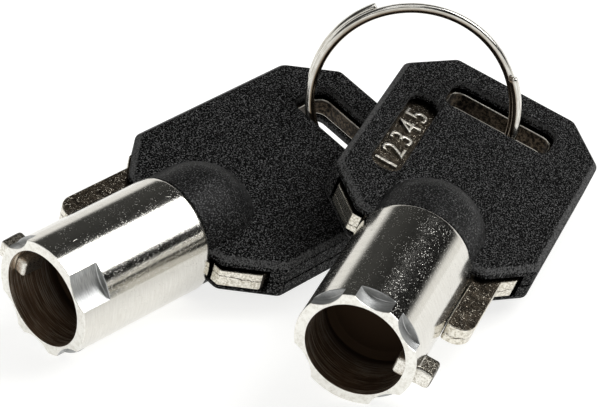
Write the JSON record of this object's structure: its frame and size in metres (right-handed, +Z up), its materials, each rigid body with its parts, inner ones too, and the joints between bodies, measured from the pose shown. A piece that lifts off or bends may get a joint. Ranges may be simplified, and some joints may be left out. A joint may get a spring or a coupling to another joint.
{
  "type": "tubular key pair on a split ring",
  "caption": "Tubular lock keys with plastic-covered heads, held on a small wire split ring; each key has a notched hollow barrel and a drive pin.",
  "frame": {"origin": "bottom centre of the bounding box, on the table that the pair lies on", "axes": "+Z up from the table, -Y towards the keys' open ends, +X from the left key to the right key"},
  "size_m": [0.0466, 0.0392, 0.0172],
  "materials": {
    "ring_steel": "bright nickel-plated spring wire",
    "nickel": "turned and nickel-plated, with fine scratches",
    "pin_steel": "plated steel",
    "plate_steel": "dark grainy steel plate with bright sheared edges",
    "black_plastic": "black moulded plastic with a fine spark-eroded grain"
  },
  "bodies": {
    "ring": {"split_ring": "ring_steel"},
    "right_key": {"right_barrel": "nickel", "right_drive_pin": "pin_steel", "right_bow_plate": "plate_steel", "right_cross_pin": "pin_steel", "right_face_cover": "black_plastic", "right_back_cover": "black_plastic"},
    "left_key": {"left_barrel": "nickel", "left_drive_pin": "pin_steel", "left_bow_plate": "plate_steel", "left_cross_pin": "pin_steel", "left_face_cover": "black_plastic", "left_back_cover": "black_plastic"}
  },
  "joints": [
    {"name": "right_key_fan", "type": "hinge", "parent": "ring", "child": "right_key", "pos_m": [0.01559, 0.0124, 0.00633], "axis": [0, 0, 1], "range_deg": [0, 140]},
    {"name": "left_key_fan", "type": "hinge", "parent": "ring", "child": "left_key", "pos_m": [0.00078, 0.01422, 0.00641], "axis": [0, 0, -1], "range_deg": [0, 70]}
  ]
}
